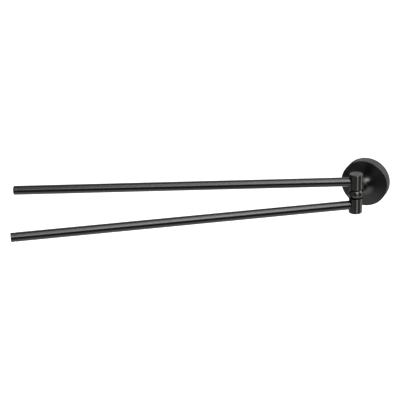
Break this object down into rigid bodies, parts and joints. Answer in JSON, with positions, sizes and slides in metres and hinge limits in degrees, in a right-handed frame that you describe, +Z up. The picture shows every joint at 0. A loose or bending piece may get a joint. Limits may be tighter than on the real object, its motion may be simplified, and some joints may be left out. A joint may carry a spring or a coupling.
{
  "type": "towel rack",
  "caption": "Wall-mounted towel rack: a round rosette with a slim flared neck carries straight round arms that swivel one above the other about a vertical pivot.",
  "frame": {"origin": "centre of the rosette's back, on the wall plane", "axes": "+Y into the wall, +Z up along the pivot, +X along the wall to the right as seen from the room"},
  "size_m": [0.3854, 0.2683, 0.055],
  "materials": {
    "black_chrome": "satin black chrome plate",
    "zinc_plated_steel": "zinc plated, dull",
    "stainless_steel": "plain turned",
    "brass": "plain",
    "black_nylon": "moulded"
  },
  "bodies": {
    "wall_mount": {"wall_plate": "zinc_plated_steel", "rosette": "black_chrome", "rosette_grub_screw": "stainless_steel", "neck_post": "black_chrome", "neck_spring_washer": "stainless_steel", "neck_lock_nut": "stainless_steel", "pivot_pin": "stainless_steel", "upper_lock_nut": "brass", "lower_lock_nut": "brass"},
    "upper_arm": {"upper_barrel": "black_chrome", "upper_barrel_cap": "black_chrome", "upper_pivot_bush": "black_nylon", "upper_thrust_washer": "black_nylon", "upper_wave_washer": "stainless_steel", "upper_arm_tube": "black_chrome", "upper_arm_spigot": "stainless_steel", "upper_arm_end_cap": "black_chrome"},
    "lower_arm": {"lower_barrel": "black_chrome", "lower_barrel_cap": "black_chrome", "lower_pivot_bush": "black_nylon", "lower_thrust_washer": "black_nylon", "lower_wave_washer": "stainless_steel", "lower_arm_tube": "black_chrome", "lower_arm_spigot": "stainless_steel", "lower_arm_end_cap": "black_chrome"}
  },
  "joints": [
    {"name": "upper_arm_swing", "type": "hinge", "parent": "wall_mount", "child": "upper_arm", "pos_m": [0, -0.0445, 0.014], "axis": [0, 0, 1], "range_deg": [-24, 156]},
    {"name": "lower_arm_swing", "type": "hinge", "parent": "wall_mount", "child": "lower_arm", "pos_m": [0, -0.0445, -0.014], "axis": [0, 0, 1], "range_deg": [-34, 146]}
  ]
}
